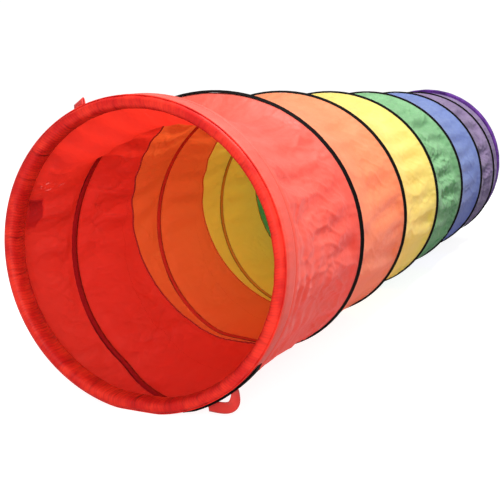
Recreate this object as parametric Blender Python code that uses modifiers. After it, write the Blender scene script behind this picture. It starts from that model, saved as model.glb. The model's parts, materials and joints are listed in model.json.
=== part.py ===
"""Pop-up crawl tunnel for agility training.

One spring-steel coil runs the length of six sewn fabric panels and pushes two padded end
hoops apart.  Every coil turn, panel and hoop is drawn round the tunnel's long axis, +X.
The origin is the middle of the front hoop's resting flat, on the floor; +Z is up.
"""

import math
from collections import namedtuple

import bmesh
import bpy
from mathutils import Matrix, Vector
from mathutils.geometry import interpolate_bezier

# ---------------------------------------------------------------- driving dimensions, metres
TUNNEL_LENGTH = 1.892        # from the front hoop's face to the rear hoop's face
COIL_OUTER_RADIUS = 0.2413   # over the binding: a 19 inch tunnel
COIL_PITCH = 0.300           # one coil turn and one panel
FRONT_HOOP_RADIUS = 0.2344   # the front hoop is slightly smaller than the coil
REAR_HOOP_RADIUS = 0.2413    # the rear one is as big
HEM_LENGTH = 0.038           # hoop roll, measured along the tunnel
HEM_THICKNESS = 0.020        # hoop roll, measured across the wall
STEP_DEGREES = 12.0          # every round piece has its corners at the same angles
STEPS = 30
GAP = 0.0003                 # running gap between neighbouring pieces

# ---------------------------------------------------------------- cloth, wire and tape
FABRIC = 0.0005
PANEL_RADIUS = 0.2370        # outside of the panels
HEM_CLOTH = 0.0010
COIL_WIRE_RADIUS = 0.0015
COIL_CENTRE_RADIUS = PANEL_RADIUS + COIL_WIRE_RADIUS + 0.0004
BINDING = 0.0005
BINDING_HALF_WIDTH = 0.0050
BINDING_CROWN_HALF_WIDTH = 0.0022
RING_WIRE_RADIUS = 0.0020
SEAM_TAPE_WIDTH = 0.008
SEAM_TAPE = 0.0004
RIBBON = 0.0012

# ---------------------------------------------------------------- places along the tunnel
FIRST_HELIX_OFFSET = 0.1243  # the helix's distance from the front face at angle zero
FIRST_COIL_STEP = -2         # the coil leaves the front hoop at the bottom
RAMP_END_STEP = 2            # and has reached its even pitch here
SQUEEZE_STEPS = (142, 166)   # the last turn stands closer to the one before it
SQUEEZE = 0.070
HOOK_STEP = 172              # from here the coil closes on the rear hoop
LAST_COIL_STEP = 177
COIL_CLEARANCE = 0.008       # from a hoop roll to the coil's end turns
PANEL_START = HEM_LENGTH + 0.0005   # the first panel butts against the front hoop roll
FIRST_SEAM = 0.3638
SEAM_LEAN_UP = 0.0446        # a seam ring leans: further back at the bottom than at the top
SEAM_LEAN_SIDE = 0.0145
PANEL_NAMES = ("red", "orange", "yellow", "green", "blue", "purple")

FLAT_SHARE = math.cos(math.radians(STEP_DEGREES / 2))   # a resting flat's distance, in radii
REST_DEPTH = FRONT_HOOP_RADIUS * FLAT_SHARE             # height of the tunnel's axis
MERGE = 0.00001

Hoop = namedtuple("Hoop", "name middle facing radius cloth")

COLOURS = {
    "red": (0.80, 0.06, 0.03),
    "orange": (0.90, 0.26, 0.05),
    "yellow": (0.90, 0.66, 0.08),
    "green": (0.22, 0.45, 0.23),
    "blue": (0.13, 0.16, 0.50),
    "purple": (0.27, 0.16, 0.36),
    "black": (0.012, 0.012, 0.013),
    "steel": (0.55, 0.56, 0.58),
    "foam": (0.86, 0.85, 0.80),
    "vinyl": (0.05, 0.05, 0.05),
}


# ---------------------------------------------------------------- scene helpers
def clear_scene():
    for obj in list(bpy.data.objects):
        bpy.data.objects.remove(obj, do_unlink=True)


def make_material(name, colour, roughness, metallic=0.0):
    material = bpy.data.materials.new(name)
    material.use_nodes = True
    shader = material.node_tree.nodes["Principled BSDF"]
    shader.inputs["Base Color"].default_value = (*colour, 1.0)
    shader.inputs["Roughness"].default_value = roughness
    shader.inputs["Metallic"].default_value = metallic
    return material


def add_object(name, data, material, location=(0.0, 0.0, 0.0)):
    obj = bpy.data.objects.new(name, data)
    obj.location = location
    data.materials.append(material)
    collection.objects.link(obj)
    return obj


def bake(obj):
    """Replace an object by its evaluated mesh, with the faces turned outwards."""
    bpy.context.view_layer.update()
    evaluated = obj.evaluated_get(bpy.context.evaluated_depsgraph_get())
    mesh = bpy.data.meshes.new_from_object(evaluated)
    shape = bmesh.new()
    shape.from_mesh(mesh)
    bmesh.ops.remove_doubles(shape, verts=shape.verts, dist=MERGE)
    bmesh.ops.recalc_face_normals(shape, faces=shape.faces)
    shape.to_mesh(mesh)
    shape.free()
    name = obj.name
    material = obj.data.materials[0]
    place = obj.matrix_world.copy()
    bpy.data.objects.remove(obj, do_unlink=True)
    mesh.materials.clear()
    baked = add_object(name, mesh, material)
    baked.matrix_world = place
    return baked


# ---------------------------------------------------------------- the tunnel's own coordinates
def step_angle(step):
    """Angle round the tunnel, from straight down towards +Y."""
    return math.radians((step + 0.5) * STEP_DEGREES)


def resting_radius(angle, round_radius):
    """A soft layer's radius, flattened where the tunnel lies on the floor."""
    depth = REST_DEPTH - (COIL_OUTER_RADIUS - round_radius)
    if math.cos(angle) <= 0.0:
        return round_radius
    return min(round_radius, depth / math.cos(angle))


def tunnel_point(along, angle, radius, height=REST_DEPTH):
    """A point from its distance behind the front face, its angle and its radius."""
    return Vector((
        along - HEM_LENGTH / 2,
        radius * math.sin(angle),
        height - radius * math.cos(angle),
    ))


def smooth_step(value):
    value = min(max(value, 0.0), 1.0)
    return value * value * (3.0 - 2.0 * value)


def coil_distance(angle):
    """How far behind the front face the coil is, at an angle counted over all its turns."""
    helix = FIRST_HELIX_OFFSET + COIL_PITCH * angle / math.tau
    front = HEM_LENGTH + COIL_CLEARANCE
    rear = TUNNEL_LENGTH - HEM_LENGTH - COIL_CLEARANCE
    first = step_angle(FIRST_COIL_STEP)
    share = smooth_step((angle - first) / (step_angle(RAMP_END_STEP) - first))
    tight, even = (step_angle(step) for step in SQUEEZE_STEPS)
    place = front + share * (helix - front)
    place -= SQUEEZE * smooth_step((angle - tight) / (even - tight))
    hook = step_angle(HOOK_STEP)
    share = smooth_step((angle - hook) / (step_angle(LAST_COIL_STEP) - hook))
    return place + share * (rear - place)


def seam_distance(number, angle):
    """Distance of seam ring `number` behind the front face; ring 1 ends the first panel."""
    middle = FIRST_SEAM + (number - 1) * COIL_PITCH
    return middle + SEAM_LEAN_UP * math.cos(angle) + SEAM_LEAN_SIDE * math.sin(angle)


# ---------------------------------------------------------------- ways of making a piece
def make_sheet(name, rows, columns, place, material, thickness, closed=False, offset=-1.0):
    """A grid laid out by place(row, column) and thickened into cloth."""
    shape = bmesh.new()
    bmesh.ops.create_grid(shape, x_segments=rows, y_segments=columns, size=0.5)
    for vertex in shape.verts:
        row = round((vertex.co.x + 0.5) * rows)
        column = round((vertex.co.y + 0.5) * columns)
        vertex.co = place(row, column)
    if closed:
        bmesh.ops.remove_doubles(shape, verts=shape.verts, dist=MERGE)
    mesh = bpy.data.meshes.new(name)
    shape.to_mesh(mesh)
    shape.free()
    obj = add_object(name, mesh, material)
    cloth = obj.modifiers.new("cloth", "SOLIDIFY")
    cloth.thickness = thickness
    cloth.offset = offset
    cloth.use_even_offset = True
    return obj


def make_wire(name, points, radius, material):
    """A round wire along points, with flat ends."""
    curve = bpy.data.curves.new(name, "CURVE")
    curve.dimensions = "3D"
    curve.bevel_depth = radius
    curve.bevel_resolution = 1
    curve.use_fill_caps = True
    spline = curve.splines.new("POLY")
    spline.points.add(len(points) - 1)
    for control, point in zip(spline.points, points):
        control.co = (*point, 1.0)
    return bake(add_object(name, curve, material))


def revolve(name, outline, closed, material, height):
    """Turn an outline of (distance, radius) points round an axis at a height."""
    start = step_angle(0)
    shape = bmesh.new()
    corners = []
    for along, radius in outline:
        corners.append(shape.verts.new(tunnel_point(along, start, radius, 0.0)))
    for first, second in zip(corners, corners[1:]):
        shape.edges.new((first, second))
    if closed:
        shape.edges.new((corners[-1], corners[0]))
    mesh = bpy.data.meshes.new(name)
    shape.to_mesh(mesh)
    shape.free()
    obj = add_object(name, mesh, material, (0.0, 0.0, height))
    screw = obj.modifiers.new("turn", "SCREW")
    screw.axis = "X"
    screw.angle = math.tau
    screw.steps = STEPS
    screw.render_steps = STEPS
    screw.use_merge_vertices = True
    screw.merge_threshold = MERGE
    return obj


def align(obj, origin, direction):
    """Put an object's own origin at a point with its Z axis along a direction."""
    turn = direction.to_track_quat("Z", "Y").to_matrix().to_4x4()
    obj.matrix_world = Matrix.Translation(origin) @ turn


# ---------------------------------------------------------------- the padded end hoops
def ring_radius(hoop):
    return hoop.radius - HEM_THICKNESS / 2


def hoop_height(hoop):
    """A hoop's centre, so that its lowest flat lies on the floor."""
    return hoop.radius * FLAT_SHARE


def roll_outline(hoop, inset):
    """The roll's rounded section, from one lip of its slit to the other."""
    half_length = HEM_LENGTH / 2 - inset
    corner = math.radians(22.5)
    squareness = 0.6
    half_thickness = HEM_THICKNESS / 2 / math.cos(corner) ** squareness - inset
    centre = ring_radius(hoop)
    lip = hoop.middle + hoop.facing * half_length * 0.97
    points = [(lip, centre + GAP)]
    for number in range(8):
        turn = corner + number * math.pi / 4
        along = math.copysign(abs(math.cos(turn)) ** squareness, math.cos(turn))
        across = math.copysign(abs(math.sin(turn)) ** squareness, math.sin(turn))
        points.append((
            hoop.middle + hoop.facing * half_length * along,
            centre + half_thickness * across,
        ))
    points.append((lip, centre - GAP))
    return points


def make_hem(hoop):
    """The hoop's gathered fabric sleeve, sewn shut along a slit that faces the tunnel."""
    outline = roll_outline(hoop, 0.0)
    obj = revolve(hoop.name + "_hem", outline, False, hoop.cloth, hoop_height(hoop))
    cloth = obj.modifiers.new("cloth", "SOLIDIFY")
    cloth.thickness = HEM_CLOTH
    cloth.offset = -hoop.facing
    cloth.use_even_offset = True
    bake(obj)


def make_padding(hoop):
    """Foam slit along its back, with a hollow for the ring wire and its sleeve."""
    hollow = 0.0050
    corners = 6
    centre = ring_radius(hoop)
    mouth = hoop.middle + hoop.facing * hollow
    outline = roll_outline(hoop, HEM_CLOTH + GAP)
    outline.append((mouth, centre - GAP))
    for number in range(corners):
        turn = -math.radians(30.0) - number * math.tau / corners
        outline.append((
            hoop.middle + hoop.facing * hollow * math.cos(turn),
            centre + hollow * math.sin(turn),
        ))
    outline.append((mouth, centre + GAP))
    name = hoop.name + "_ring_padding"
    bake(revolve(name, outline, True, materials["foam"], hoop_height(hoop)))


def make_ring_wire(hoop):
    """A hoop of spring wire whose two ends meet at the top."""
    centre = ring_radius(hoop)
    height = hoop_height(hoop)
    half_gap = 0.0004 / centre
    flat = centre * FLAT_SHARE
    points = [tunnel_point(hoop.middle, math.pi + half_gap, flat, height)]
    for step in range(STEPS // 2, STEPS // 2 + STEPS):
        points.append(tunnel_point(hoop.middle, step_angle(step), centre, height))
    points.append(tunnel_point(hoop.middle, math.pi - half_gap, flat, height))
    make_wire(hoop.name + "_ring_wire", points, RING_WIRE_RADIUS, materials["steel"])


def make_ferrule(hoop):
    """The steel sleeve crimped over the ring wire's meeting ends."""
    length = 0.030
    outer_radius = 0.0036
    flat = ring_radius(hoop) * FLAT_SHARE
    name = hoop.name + "_ring_ferrule"
    shape = bmesh.new()
    bmesh.ops.create_cone(
        shape, segments=12, radius1=outer_radius, radius2=outer_radius, depth=length)
    mesh = bpy.data.meshes.new(name)
    shape.to_mesh(mesh)
    shape.free()
    obj = add_object(name, mesh, materials["steel"])
    centre = tunnel_point(hoop.middle, math.pi, flat, hoop_height(hoop))
    align(obj, centre, Vector((0.0, 1.0, 0.0)))
    wall = obj.modifiers.new("wall", "SOLIDIFY")
    wall.thickness = outer_radius - RING_WIRE_RADIUS - GAP
    wall.offset = -1.0
    wall.use_even_offset = True
    bake(obj)


def make_hoop(hoop):
    make_ring_wire(hoop)
    make_ferrule(hoop)
    make_padding(hoop)
    make_hem(hoop)


# ---------------------------------------------------------------- the coil
def coil_point(step, lift=0.0):
    angle = step_angle(step)
    radius = resting_radius(angle, COIL_CENTRE_RADIUS) + lift
    return tunnel_point(coil_distance(angle), angle, radius)


def make_coil():
    """One spring wire; its two ends stand a little proud of the cloth to take their tips."""
    lift = 0.0015
    points = [coil_point(step) for step in range(FIRST_COIL_STEP, LAST_COIL_STEP + 1)]
    points[0] = coil_point(FIRST_COIL_STEP, lift)
    points[-1] = coil_point(LAST_COIL_STEP, lift)
    make_wire("coil_wire", points, COIL_WIRE_RADIUS, materials["steel"])
    make_tip("coil_front_tip", points[0], points[1])
    make_tip("coil_rear_tip", points[-1], points[-2])


def make_tip(name, end, inwards):
    """A vinyl cap pushed over a wire end."""
    length = 0.012
    wall = 0.0006
    bore = COIL_WIRE_RADIUS + GAP
    outline = (
        (0.0, -wall - GAP),
        (bore + wall, -wall - GAP),
        (bore + wall, length),
        (bore, length),
        (bore, -GAP),
        (0.0, -GAP),
    )
    shape = bmesh.new()
    corners = [shape.verts.new((radius, 0.0, height)) for radius, height in outline]
    for first, second in zip(corners, corners[1:]):
        shape.edges.new((first, second))
    mesh = bpy.data.meshes.new(name)
    shape.to_mesh(mesh)
    shape.free()
    obj = add_object(name, mesh, materials["vinyl"])
    align(obj, end, (inwards - end).normalized())
    screw = obj.modifiers.new("turn", "SCREW")
    screw.axis = "Z"
    screw.angle = math.tau
    screw.steps = 12
    screw.render_steps = 12
    screw.use_merge_vertices = True
    screw.merge_threshold = MERGE
    return bake(obj)


def make_binding():
    """The tape sewn over the coil: two flat edges and a raised crown over the wire."""
    flat = PANEL_RADIUS + GAP
    crown = COIL_OUTER_RADIUS - BINDING
    profile = (
        (-BINDING_HALF_WIDTH, flat),
        (-BINDING_CROWN_HALF_WIDTH, crown),
        (BINDING_CROWN_HALF_WIDTH, crown),
        (BINDING_HALF_WIDTH, flat),
    )
    first = FIRST_COIL_STEP + 1
    rows = LAST_COIL_STEP - 1 - first

    def place(row, column):
        angle = step_angle(first + row)
        aside, radius = profile[column]
        return tunnel_point(coil_distance(angle) + aside, angle, resting_radius(angle, radius))

    make_sheet("coil_binding", rows, 3, place, materials["black"], BINDING, offset=1.0)


# ---------------------------------------------------------------- panels and seams
def make_panel(number):
    """Panel 0 is sewn to the front hoop and the last one to the rear hoop."""
    name = PANEL_NAMES[number]
    columns = 2
    rear = TUNNEL_LENGTH - PANEL_START
    half_seam = 0.0002

    def place(row, column):
        angle = step_angle(row)
        start = PANEL_START
        end = rear
        if number > 0:
            start = seam_distance(number, angle) + half_seam
        if number < len(PANEL_NAMES) - 1:
            end = seam_distance(number + 1, angle) - half_seam
        along = start + (end - start) * column / columns
        return tunnel_point(along, angle, resting_radius(angle, PANEL_RADIUS))

    make_sheet("panel_" + name, STEPS, columns, place, materials[name], FABRIC, closed=True)


def make_seam(number):
    """The tape that covers the raw edges of two panels, inside the tunnel."""
    name = "seam_" + PANEL_NAMES[number - 1] + "_" + PANEL_NAMES[number]
    radius = PANEL_RADIUS - FABRIC - GAP

    def place(row, column):
        angle = step_angle(row)
        along = seam_distance(number, angle) + (column - 0.5) * SEAM_TAPE_WIDTH
        return tunnel_point(along, angle, resting_radius(angle, radius))

    material = materials[PANEL_NAMES[number - 1]]
    make_sheet(name, STEPS, 1, place, material, SEAM_TAPE, closed=True)


# ---------------------------------------------------------------- tie loops
def make_anchor_tape():
    """Black tape sewn round the lower right of the front hoop; the lower loop hangs from it."""
    inner_radius = 0.2350
    outer_radius = 0.2385
    front = 0.012
    width = 0.015
    first = -5
    segments = 3

    def place(row, column):
        angle = step_angle(first + row)
        return tunnel_point(front + column * width, angle, outer_radius)

    thickness = outer_radius - inner_radius
    make_sheet("loop_anchor_tape", segments, 1, place, materials["black"], thickness)


def make_lower_loop():
    """A ribbon sewn down at both ends, hanging open below the front hoop."""
    width = 0.020
    front = 0.014
    radius = 0.2405
    segments = 8
    right = tunnel_point(front, math.radians(-38.0), radius)
    left = tunnel_point(front, math.radians(-24.0), radius)
    sag_right = right + Vector((0.0, -0.012, -0.046))
    sag_left = left + Vector((0.0, 0.0, -0.017))
    path = interpolate_bezier(right, sag_right, sag_left, left, segments + 1)

    def place(row, column):
        return path[row] + Vector((column * width, 0.0, 0.0))

    make_sheet("lower_tie_loop", segments, 1, place, materials["red"], RIBBON, offset=0.0)


def make_folded_loop(name, angle, reach, lean):
    """A ribbon folded in half behind the front hoop, leaning off the panel."""
    opening = 0.0050
    width = 0.018
    segments = 8
    outwards = Vector((0.0, math.sin(angle), -math.cos(angle)))
    across = Vector((0.0, math.cos(angle), math.sin(angle)))
    back = Vector((math.cos(lean), 0.0, 0.0)) + outwards * math.sin(lean)
    apart = outwards * math.cos(lean) - Vector((math.sin(lean), 0.0, 0.0))
    root = tunnel_point(HEM_LENGTH + 0.004, angle, 0.2420)

    def place(row, column):
        turn = math.pi * row / segments
        centre = root + back * reach * math.sin(turn) - apart * opening / 2 * math.cos(turn)
        return centre + across * (column - 0.5) * width

    make_sheet(name, segments, 1, place, materials["red"], RIBBON, offset=0.0)


# ---------------------------------------------------------------- build
clear_scene()
collection = bpy.data.collections.new("crawl_tunnel")
bpy.context.scene.collection.children.link(collection)

materials = {}
for colour_name, colour_value in COLOURS.items():
    is_steel = colour_name == "steel"
    materials[colour_name] = make_material(
        colour_name, colour_value, 0.35 if is_steel else 0.6, 1.0 if is_steel else 0.0)

make_hoop(Hoop("front", HEM_LENGTH / 2, 1.0, FRONT_HOOP_RADIUS, materials["red"]))
rear_middle = TUNNEL_LENGTH - HEM_LENGTH / 2
make_hoop(Hoop("rear", rear_middle, -1.0, REAR_HOOP_RADIUS, materials["purple"]))
make_coil()
make_binding()
for panel_number in range(len(PANEL_NAMES)):
    make_panel(panel_number)
for seam_number in range(1, len(PANEL_NAMES)):
    make_seam(seam_number)
make_anchor_tape()
make_lower_loop()
make_folded_loop("left_tie_loop", math.radians(100.0), 0.052, math.radians(16.0))
make_folded_loop("upper_tie_loop", math.radians(152.0), 0.019, math.radians(62.0))
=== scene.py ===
"""Looks of the pop-up crawl tunnel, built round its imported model.

Everything is laid out in the tunnel's own coordinates: a distance behind the front hoop's face,
an angle round the tunnel from straight down towards +Y, and a radius from the long axis.
"""

from collections import namedtuple
import json
import math

import bpy
import numpy as np
from mathutils import Matrix, Vector


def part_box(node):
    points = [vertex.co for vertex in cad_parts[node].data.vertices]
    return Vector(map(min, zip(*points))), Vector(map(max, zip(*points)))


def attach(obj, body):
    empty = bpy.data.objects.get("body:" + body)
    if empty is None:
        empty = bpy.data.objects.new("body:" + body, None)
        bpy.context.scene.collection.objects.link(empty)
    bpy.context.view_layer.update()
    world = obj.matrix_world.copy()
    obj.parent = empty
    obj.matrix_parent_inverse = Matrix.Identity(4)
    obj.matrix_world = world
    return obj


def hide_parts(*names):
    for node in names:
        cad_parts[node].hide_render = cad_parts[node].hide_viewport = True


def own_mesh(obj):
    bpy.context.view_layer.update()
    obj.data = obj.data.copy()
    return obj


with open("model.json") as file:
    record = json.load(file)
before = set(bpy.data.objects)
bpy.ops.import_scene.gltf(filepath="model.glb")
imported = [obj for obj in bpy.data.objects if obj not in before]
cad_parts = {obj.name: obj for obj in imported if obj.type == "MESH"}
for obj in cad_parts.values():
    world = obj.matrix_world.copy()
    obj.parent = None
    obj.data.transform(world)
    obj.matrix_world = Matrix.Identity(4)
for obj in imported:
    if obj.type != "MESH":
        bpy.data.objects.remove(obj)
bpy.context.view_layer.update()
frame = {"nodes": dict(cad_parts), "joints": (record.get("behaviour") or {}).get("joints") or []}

# ---------------- the hoops, read from the frame
TUNNEL_LENGTH = 1.892
HEM_LENGTH = 0.038
Hoop = namedtuple("Hoop", "end middle facing radius height")


def read_hoop(end, facing):
    """A padded hoop: its roll's middle distance, outer radius and centre height."""
    low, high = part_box(end + "_hem")
    middle = HEM_LENGTH / 2 if facing > 0 else TUNNEL_LENGTH - HEM_LENGTH / 2
    return Hoop(end, middle, facing, high.y, (low.z + high.z) / 2)


front_hoop = read_hoop("front", 1.0)
rear_hoop = read_hoop("rear", -1.0)
HEM_RADIUS = front_hoop.radius
AXIS_HEIGHT = front_hoop.height
COIL_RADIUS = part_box("coil_binding")[1].y
PANEL_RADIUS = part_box("panel_orange")[1].y

# ---------------- the model's driving dimensions
HEM_THICKNESS = 0.020
FRONT_HELD = HEM_LENGTH                       # the cloth hangs free between the hoops
REAR_HELD = TUNNEL_LENGTH - HEM_LENGTH
WALL_START = 0.0070                           # but starts on the front roll, under its welt
WALL_END = REAR_HELD + 0.0045                 # and ends in the rear roll's side
COIL_PITCH = 0.300
COIL_CLEARANCE = 0.008
COIL_WIRE_RADIUS = 0.0015
COIL_CENTRE_RADIUS = PANEL_RADIUS + COIL_WIRE_RADIUS + 0.0004
FIRST_HELIX_OFFSET = 0.1243
COIL_START = math.radians(-18.0)
RAMP_END = math.radians(30.0)
SQUEEZE_START = math.radians(1710.0)          # the last turn stands closer to the one before it
SQUEEZE_END = math.radians(1998.0)
SQUEEZE = 0.070
HOOK_START = math.radians(2070.0)
COIL_END = math.radians(2130.0)
FIRST_SEAM = 0.3638
SEAM_LEAN_UP = 0.0446
SEAM_LEAN_SIDE = 0.0145
FABRIC = 0.0005
SEAM_WIDTH = 0.0046
BINDING_HALF_WIDTH = 0.0074
RIBBON_HALF_WIDTH = 0.0088
WELT_RADIUS = 0.0009

PANELS = ("red", "orange", "yellow", "green", "blue", "purple")
SECTIONS = ("front_end",) + tuple(colour + "_section" for colour in PANELS[1:])
TAU = math.tau

# How each panel's cloth lies, from red to purple, in metres.
DIP_DEPTHS = (0.0080, 0.0070, 0.0070, 0.0090, 0.0075, 0.0090)
FOLD_HEIGHTS = (0.0032, 0.0022, 0.0022, 0.0040, 0.0018, 0.0040)
RIPPLE_HEIGHTS = (0.0022, 0.0012, 0.0012, 0.0036, 0.0011, 0.0038)
CREASE_HEIGHTS = (0.0026, 0.0015, 0.0015, 0.0044, 0.0013, 0.0046)
CRUMPLE_HEIGHTS = (0.0006, 0.0004, 0.0004, 0.0030, 0.0004, 0.0032)
SLACK_SHARES = (0.35, 0.15, 0.15, 1.00, 0.20, 1.00)
SEAM_BLEND = 0.030           # over which one panel's manner turns into the next one's
SAG_DEPTH = 0.042            # of the longest unheld stretch, above the first coil turn
SAG_MIDDLE = 163.0           # degrees round the tunnel
SAG_SPREAD = 34.0
FLOOR_CLEARANCE = 0.0006

# How finely the cloth is modelled and simulated.
WALL_COLUMNS = 440
PANEL_ROWS = 96
ROLL_COVER_ROWS = 14
DRAPE_ROWS = 226
DRAPE_COLUMNS = 190
DRAPE_FRAMES = 22
DRAPE_LIMIT = 0.014

WEAVE_PITCH = 0.0007


def srgb(red, green, blue):
    """A linear colour from 0 to 255 display values."""
    def linear(value):
        value = value / 255.0
        return value / 12.92 if value <= 0.04045 else ((value + 0.055) / 1.055) ** 2.4
    return (linear(red), linear(green), linear(blue), 1.0)


# The cloth's outside in full light and in its folds, the light that comes through it, its
# inside, and the shadow of the black binding there.
Cloth = namedtuple("Cloth", "lit shade glow inside stripe")
CLOTHS = {
    "red": Cloth(srgb(236, 122, 104), srgb(228, 66, 46), srgb(255, 74, 50),
                 srgb(240, 50, 54), srgb(124, 12, 20)),
    "orange": Cloth(srgb(244, 168, 118), srgb(236, 120, 66), srgb(255, 134, 64),
                    srgb(255, 136, 68), srgb(166, 20, 32)),
    "yellow": Cloth(srgb(250, 240, 146), srgb(240, 214, 72), srgb(255, 226, 100),
                    srgb(250, 216, 84), srgb(178, 112, 44)),
    "green": Cloth(srgb(160, 214, 160), srgb(78, 138, 84), srgb(110, 200, 110),
                   srgb(110, 170, 90), srgb(26, 50, 30)),
    "blue": Cloth(srgb(150, 170, 220), srgb(66, 86, 168), srgb(90, 110, 215),
                  srgb(66, 82, 170), srgb(24, 28, 70)),
    "purple": Cloth(srgb(172, 152, 188), srgb(84, 64, 104), srgb(130, 90, 170),
                    srgb(100, 72, 130), srgb(40, 26, 56)),
}
SEAM_COLOURS = (srgb(176, 22, 40), srgb(232, 74, 34), srgb(190, 150, 40), srgb(50, 96, 60),
                srgb(48, 54, 120))
# Hoop sleeves: two tones mixed at random, and the painted shade in the gathers' valleys.
HEM_COLOURS = {
    "front": (srgb(232, 50, 34), srgb(202, 28, 24), srgb(110, 8, 12)),
    "rear": (srgb(92, 44, 132), srgb(62, 26, 96), srgb(30, 10, 50)),
}


# ---------------- tunnel coordinates
def smooth(value):
    """0 up to 0, 1 from 1 on, and an even slope between."""
    value = np.clip(value, 0.0, 1.0)
    return value * value * (3.0 - 2.0 * value)


def place(along, angle, radius, height=AXIS_HEIGHT):
    """Points from distances behind the front face, angles and radii."""
    along, angle, radius = np.broadcast_arrays(along, angle, radius)
    return np.stack((
        along - HEM_LENGTH / 2,
        radius * np.sin(angle),
        height - radius * np.cos(angle),
    ), axis=-1)


def unit(vectors):
    return vectors / np.linalg.norm(vectors, axis=-1, keepdims=True)


def outwards(angle):
    """The direction away from the long axis."""
    return np.stack((np.zeros_like(angle), np.sin(angle), -np.cos(angle)), axis=-1)


def settled(along, angle, radius, height=AXIS_HEIGHT, reach=None):
    """Points of a soft layer, pushed up together where the outermost one would be under the floor."""
    points = place(along, angle, radius, height)
    if reach is None:
        share = smooth((points[..., 0] + HEM_LENGTH / 2 - FRONT_HELD) / 0.008)
        reach = HEM_RADIUS + 0.0012 + share * (COIL_RADIUS - HEM_RADIUS - 0.0012)
        softness = 0.0006 + 0.0024 * share
    else:
        softness = 0.0006
    clearance = height - reach * np.cos(angle)
    points[..., 2] += softness * np.logaddexp(0.0, clearance / softness) - clearance
    return points


def coil_distance(angle):
    """How far behind the front face the coil is, at an angle counted over all its turns."""
    helix = FIRST_HELIX_OFFSET + COIL_PITCH * angle / TAU
    front = HEM_LENGTH + COIL_CLEARANCE
    rear = TUNNEL_LENGTH - front
    share = smooth((angle - COIL_START) / (RAMP_END - COIL_START))
    distance = front + share * (helix - front)
    distance = distance - SQUEEZE * smooth((angle - SQUEEZE_START) / (SQUEEZE_END - SQUEEZE_START))
    share = smooth((angle - HOOK_START) / (COIL_END - HOOK_START))
    return distance + share * (rear - distance)


def seam_distance(number, angle):
    """Seam ring 0 is the front welt, ring 1 ends the red panel, ring 6 is in the rear roll."""
    if number == 0:
        return np.full_like(angle, WALL_START)
    if number == len(PANELS):
        return np.full_like(angle, WALL_END)
    middle = FIRST_SEAM + (number - 1) * COIL_PITCH
    return middle + SEAM_LEAN_UP * np.cos(angle) + SEAM_LEAN_SIDE * np.sin(angle)


def coil_turns(angle):
    """Every coil turn's distance at each angle, with a mask of where that turn exists."""
    for turn in range(-1, 7):
        total = np.mod(angle, TAU) + TAU * turn
        yield coil_distance(total), (total >= COIL_START) & (total <= COIL_END)


def coil_gap(angle, along):
    """Signed distance along the tunnel from the nearest coil turn."""
    nearest = np.full(along.shape, 0.2)
    for turn, real in coil_turns(angle):
        gap = along - turn
        nearest = np.where(real & (np.abs(gap) < np.abs(nearest)), gap, nearest)
    return nearest


def supports(angle, along):
    """The coil turns or hoops just before and just behind each place on the wall."""
    before = np.full(along.shape, FRONT_HELD)
    behind = np.full(along.shape, REAR_HELD)
    for turn, real in coil_turns(angle):
        before = np.where(real & (turn <= along), np.maximum(before, turn), before)
        behind = np.where(real & (turn > along), np.minimum(behind, turn), behind)
    return before, np.maximum(behind, before + 0.001)


def by_panel(values, angle, along):
    """One value per panel, blended smoothly across the seams."""
    blended = np.full(along.shape, float(values[0]))
    for number in range(1, len(PANELS)):
        share = smooth((along - seam_distance(number, angle)) / SEAM_BLEND + 0.5)
        blended = blended + share * (values[number] - values[number - 1])
    return blended


def angle_apart(angle, middle):
    """Smallest difference between angles, in degrees."""
    return np.abs(np.mod(np.degrees(angle) - middle + 180.0, 360.0) - 180.0)


# ---------------- how the cloth lies
def ripples(angle, along, seed, count, turns, waves):
    """A sum of waves round and along the tunnel, about -1 to 1; it closes on itself."""
    random = np.random.RandomState(seed)
    total = np.zeros(along.shape)
    for _ in range(count):
        around = random.randint(turns[0], turns[1] + 1) * random.choice((-1, 1))
        forward = random.uniform(waves[0], waves[1]) * TAU
        phase = random.uniform(0.0, TAU)
        total = total + np.sin(around * angle + forward * along + phase)
    return total / math.sqrt(count)


def creases(angle, along, seed, around, forward):
    """Thin ridges of crumpled cloth, in patches: the zero lines of warped waves."""
    warp = 0.05 * ripples(angle, along, seed + 50, 4, (3, 9), (4.0, 10.0))
    first = ripples(angle + warp, along, seed, 5, around, forward)
    second = ripples(angle - warp, along + 0.2 * warp, seed + 1, 5,
                     (around[0] * 2, around[1] * 2), (forward[0] * 2, forward[1] * 2))
    sharp = np.exp(-np.abs(first) * 4.5) + 0.6 * np.exp(-np.abs(second) * 4.5)
    patches = smooth(0.55 + 0.55 * ripples(angle, along, seed + 90, 5, (2, 6), (1.0, 5.0)))
    return (sharp - 0.35) * (0.35 + 0.90 * patches)


def seam_calm(angle, along):
    """The seams hold the cloth straight: 0.2 on one, 1 away from it."""
    calm = np.ones(along.shape)
    for number in range(1, len(PANELS)):
        calm = np.minimum(calm, smooth(np.abs(along - seam_distance(number, angle)) / 0.045))
    return 0.2 + 0.8 * calm


def front_sag(angle, before, behind, along):
    """The longest unheld stretch, above the first turn, hangs into the tunnel."""
    share = (along - before) / (behind - before)
    front = smooth((0.20 - before) / 0.10)
    round_share = np.exp(-0.5 * (angle_apart(angle, SAG_MIDDLE) / SAG_SPREAD) ** 4)
    hang = np.sin(math.pi * np.clip(share, 0.0, 1.0) ** 1.25) ** 1.5
    return SAG_DEPTH * front * round_share * hang


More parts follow.
